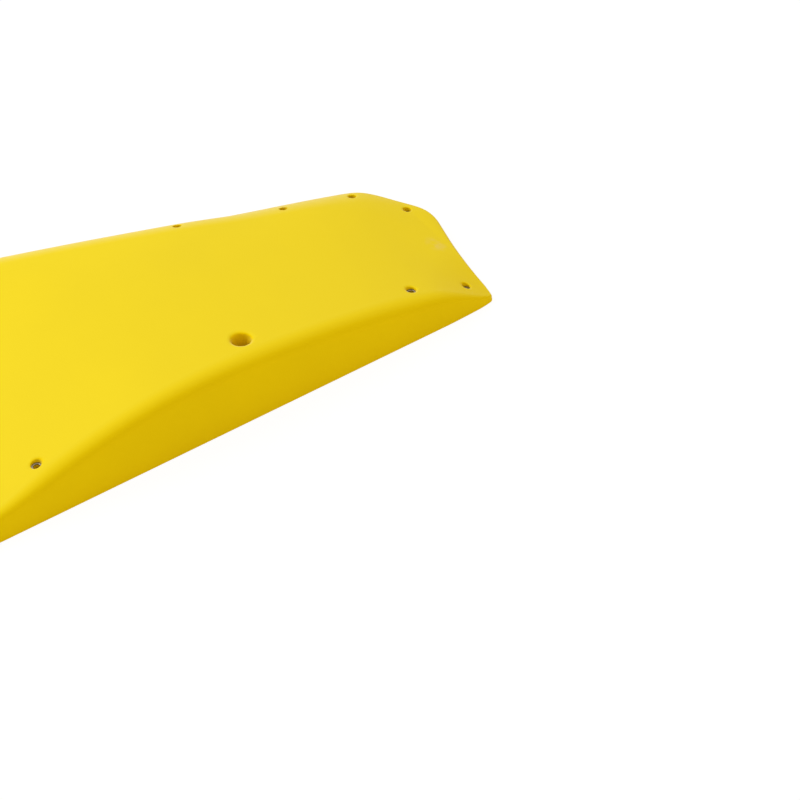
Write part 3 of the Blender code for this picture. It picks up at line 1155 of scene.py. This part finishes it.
# %% [markdown]
# Zinc-plated steel is bright but never even. The plating clouds over in soft
# patches, and the press leaves faint rings. Both steel colours are kept dark and
# warm, partly for dull plating and partly as painted shade from the deep pockets
# and a painted reflection of their yellow walls. The rings come from a wave
# texture turned round each washer's own middle, so every washer gets its own
# centre.

# %% Steel for a washer with its own centre
# Darker and warmer than bare plating: partly dull plating, partly painted shade and a painted
# reflection of the yellow pocket.
SHADED_STEEL_LIGHT = (0.52, 0.49, 0.43)
SHADED_STEEL_DARK = (0.32, 0.30, 0.26)
RING_AMOUNT = 0.15


def plated_steel(name, centre):
    made, tree, shader = new_material(name)
    patches = add_grain(
        tree, shader, grain_scale=1600.0, patch_scale=160.0, distance=0.04 * MM, strength=0.4
    )
    coords = add_node(tree, "ShaderNodeTexCoord")
    mapping = add_node(tree, "ShaderNodeMapping", vector_type="TEXTURE")
    mapping.inputs["Location"].default_value = centre
    feed(tree, mapping, {"Vector": coords.outputs["Object"]})
    rings = add_node(tree, "ShaderNodeTexWave", wave_type="RINGS", rings_direction="Z")
    rings.inputs["Scale"].default_value = 500.0
    rings.inputs["Distortion"].default_value = 1.5
    feed(tree, rings, {"Vector": mapping.outputs[0]})
    faint_rings = math_node(tree, "MULTIPLY", rings.outputs["Fac"], RING_AMOUNT)
    clouded = math_node(tree, "ADD", patches, faint_rings)
    colour = mix_colour(tree, ramp(tree, clouded, 0.35, 0.75, 0, 1), SHADED_STEEL_DARK, SHADED_STEEL_LIGHT)
    rough = ramp(tree, clouded, 0.3, 0.8, 0.42, 0.26)
    feed(tree, shader, {"Base Color": colour, "Roughness": rough})
    shader.inputs["Metallic"].default_value = 1.0
    return made


print("the steel runs from", SHADED_STEEL_DARK, "to", SHADED_STEEL_LIGHT)

# %% Turn every washer
WASHER_INSET = 0.02 * MM
WASHER_CORNER = 0.22 * MM
WASHER_SHARP = math.radians(40)
washers = []
for hole in holes:
    centre = (hole["x"], hole["y"], hole["seat"] + hole["thick"] / 2)
    steel = plated_steel("plated_steel_" + hole["node"], centre)
    washer = grow(
        "steel_" + hole["node"],
        washer_tree,
        {
            "Inner Radius": hole["washer_bore"],
            "Outer Radius": hole["outer"] - WASHER_INSET,
            "Thickness": hole["thick"] - WASHER_INSET,
            "Corner Radius": WASHER_CORNER,
            "Place": centre,
            "Material": steel,
        },
    )
    washer.data.shade_smooth()
    washer.data.set_sharp_from_angle(angle=WASHER_SHARP)
    washers.append((washer, hole["node"]))
print("washers:", len(washers))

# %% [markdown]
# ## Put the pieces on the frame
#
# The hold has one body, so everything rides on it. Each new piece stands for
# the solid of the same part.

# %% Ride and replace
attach(shell, "root")
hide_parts("hold_shell")
for washer, node in washers:
    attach(washer, "root")
    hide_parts(node)
print("pieces:", 1 + len(washers))

# %% [markdown]
# ## Camera
#
# The view looks down at 46 degrees across the front left of the hold, through
# a longish 85 mm lens from about 1.7 metres.

# %% Place the camera
CAMERA_PLACE = (-0.53069, -1.19491, 1.23530)
CAMERA_AIM = (0.14833, -0.21410, 0.0)


def point_at(thing, place, target):
    toward = Vector(target) - Vector(place)
    thing.location = place
    thing.rotation_euler = toward.to_track_quat("-Z", "Y").to_euler()
    return toward.length


camera_data = bpy.data.cameras.new("camera")
camera_data.lens = 85.0
camera_data.sensor_width = 36.0
camera = add_object("camera", camera_data)
distance = point_at(camera, CAMERA_PLACE, CAMERA_AIM)
bpy.context.scene.camera = camera
print("distance to the aim:", round(distance, 3), "m")

# %% [markdown]
# ## Floor, sky and lamps
#
# The hold lies on a plain white floor. Seen by the camera, floor and sky are
# nearly white by themselves, and the floor still darkens softly where the hold
# shades it. One broad lamp behind the left shoulder gives the sloping top its
# brightness, and a weaker warm one in front lifts the steep face.

# %% Floor
FLOOR_RADIUS = 14.0
FLOOR_GLOW = 1.05
GLOW_SHARE = 0.9

floor_mesh = bmesh.new()
bmesh.ops.create_circle(floor_mesh, cap_ends=True, segments=96, radius=FLOOR_RADIUS)
floor_data = bpy.data.meshes.new("studio_floor")
floor_mesh.to_mesh(floor_data)
floor_mesh.free()
floor = add_object("studio_floor", floor_data)
floor_look, tree, shader = new_material("white_floor")
shader.inputs["Base Color"].default_value = (0.88, 0.88, 0.88, 1)
shader.inputs["Roughness"].default_value = 0.9
shader.inputs["Specular IOR Level"].default_value = 0.1
glow = add_node(tree, "ShaderNodeEmission")
glow.inputs["Strength"].default_value = FLOOR_GLOW


def seen_directly(tree):
    path = add_node(tree, "ShaderNodeLightPath")
    seen = math_node(
        tree, "MAXIMUM", path.outputs["Is Camera Ray"], path.outputs["Is Glossy Ray"]
    )
    return math_node(tree, "MAXIMUM", seen, path.outputs["Is Transmission Ray"])


blend = add_node(tree, "ShaderNodeMixShader")
glow_amount = math_node(tree, "MULTIPLY", seen_directly(tree), GLOW_SHARE)
for socket, source in zip(blend.inputs, (glow_amount, shader.outputs[0], glow.outputs[0])):
    tree.links.new(source, socket)
feed(tree, tree.nodes["Material Output"], {"Surface": blend.outputs[0]})
floor.data.materials.append(floor_look)
print("floor:", floor.name, "with", floor_look.name)

# %% Sky
SKY_LIGHT = (0.58, 0.505, 0.40)
WHITE = (1.0, 1.0, 1.0)
world = bpy.data.worlds.new("studio")
world.use_nodes = True
sky = world.node_tree.nodes["Background"]
directly = seen_directly(world.node_tree)
sky_colour = mix_colour(world.node_tree, directly, SKY_LIGHT, WHITE)
feed(world.node_tree, sky, {"Color": sky_colour})
bpy.context.scene.world = world
print("sky:", world.name)


# %% Lamps
def area_lamp(name, place, target, size, power, colour):
    data = bpy.data.lights.new(name, "AREA")
    data.shape = "DISK"
    data.size = size
    data.energy = power
    data.color = colour
    point_at(add_object(name, data), place, target)


area_lamp(
    "key", (-1.5, 1.6, 2.4), target=(0, 0, 0), size=1.6, power=58, colour=(0.93, 1.0, 1.0)
)
area_lamp(
    "front_fill",
    (0.6, -2.6, 1.2),
    target=(0, 0, 0.02),
    size=1.8,
    power=8,
    colour=(1.0, 0.84, 0.35),
)

scene = bpy.context.scene
scene.view_settings.view_transform = "Standard"
